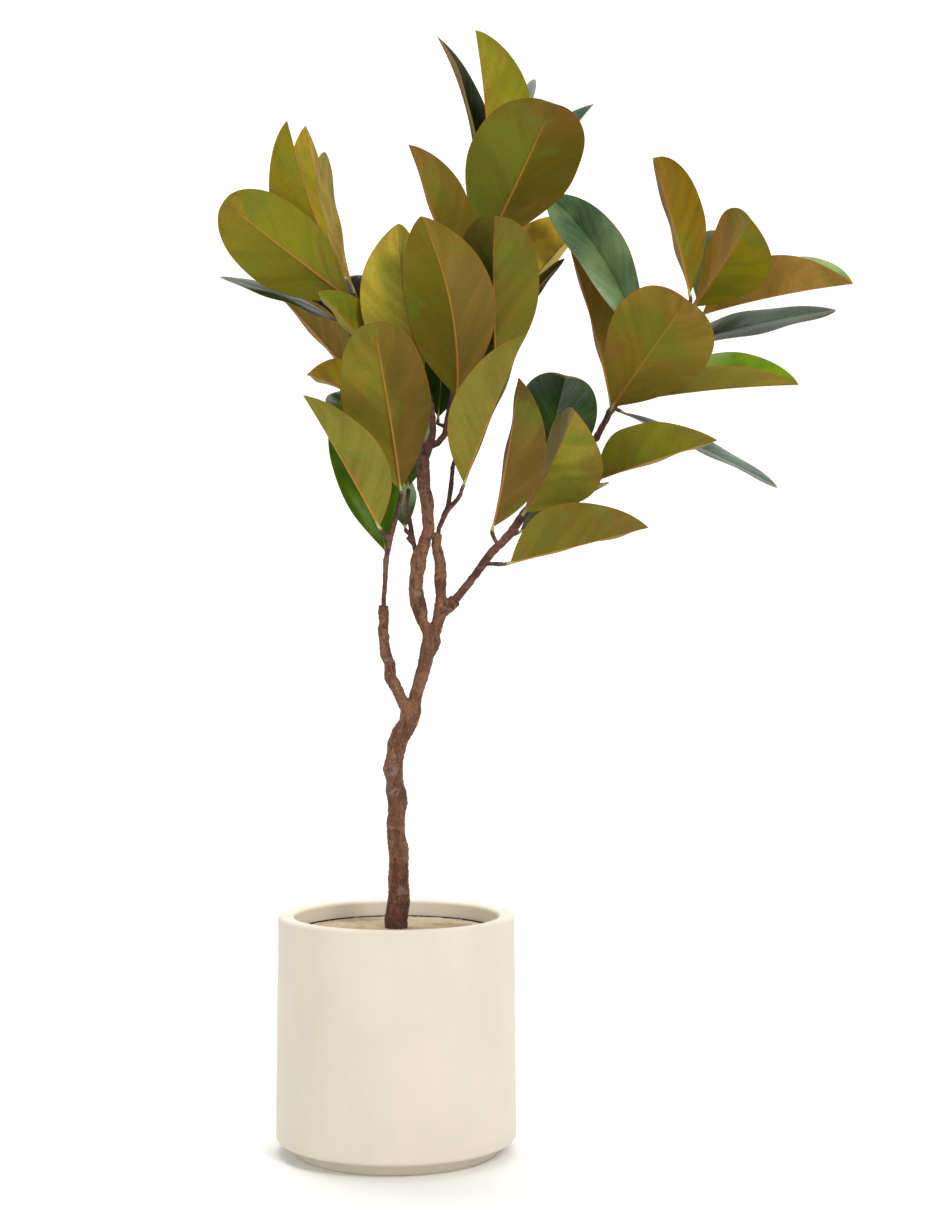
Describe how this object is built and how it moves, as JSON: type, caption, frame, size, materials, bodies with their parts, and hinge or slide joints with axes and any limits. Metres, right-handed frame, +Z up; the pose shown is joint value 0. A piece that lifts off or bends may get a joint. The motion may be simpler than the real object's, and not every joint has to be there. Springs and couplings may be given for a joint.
{
  "type": "potted rubber plant",
  "caption": "Tall rubber plant with one bent trunk, forked limbs and broad leathery leaves, standing in a cream cylindrical planter.",
  "frame": {"origin": "centre of the planter's flat underside, on the floor", "axes": "+Z up along the planter's axis, +X to the right seen from the front, where the long branch reaches, +Y to the back"},
  "size_m": [0.8046, 0.3765, 1.4718],
  "materials": {
    "cream_ceramic": "matte",
    "black_plastic": "matte",
    "sand_fill": "matte",
    "bark": "matte",
    "twig_bark": "matte",
    "leaf_green": "satin"
  },
  "bodies": {
    "root": {"planter": "cream_ceramic", "liner": "black_plastic", "fill": "sand_fill", "trunk": "bark", "left_spray_stem": "twig_bark", "fork_stem": "twig_bark", "upper_stem": "twig_bark", "right_branch": "twig_bark", "back_twig": "twig_bark", "leaf_crown_a": "leaf_green", "leaf_crown_b": "leaf_green", "leaf_crown_c": "leaf_green", "leaf_crown_d": "leaf_green", "leaf_crown_e": "leaf_green", "leaf_mid_a": "leaf_green", "leaf_mid_b": "leaf_green", "leaf_mid_c": "leaf_green", "leaf_mid_d": "leaf_green", "leaf_heart_a": "leaf_green", "leaf_heart_b": "leaf_green", "leaf_heart_c": "leaf_green", "leaf_heart_d": "leaf_green", "leaf_heart_e": "leaf_green", "leaf_left_a": "leaf_green", "leaf_left_b": "leaf_green", "leaf_left_c": "leaf_green", "leaf_left_d": "leaf_green", "leaf_left_e": "leaf_green", "leaf_low_a": "leaf_green", "leaf_low_b": "leaf_green", "leaf_low_c": "leaf_green", "leaf_low_d": "leaf_green", "leaf_low_e": "leaf_green", "leaf_spray_a": "leaf_green", "leaf_spray_b": "leaf_green", "leaf_spray_c": "leaf_green", "leaf_fork_a": "leaf_green", "leaf_fork_b": "leaf_green", "leaf_fork_c": "leaf_green", "leaf_side_a": "leaf_green", "leaf_side_b": "leaf_green", "leaf_side_c": "leaf_green", "leaf_side_d": "leaf_green", "leaf_side_e": "leaf_green", "leaf_side_f": "leaf_green", "leaf_tier_a": "leaf_green", "leaf_tier_b": "leaf_green", "leaf_tier_c": "leaf_green", "leaf_tier_d": "leaf_green", "leaf_tier_e": "leaf_green", "leaf_tip_a": "leaf_green", "leaf_tip_b": "leaf_green", "leaf_tip_c": "leaf_green", "leaf_tip_d": "leaf_green", "leaf_tip_e": "leaf_green"}
  },
  "joints": []
}
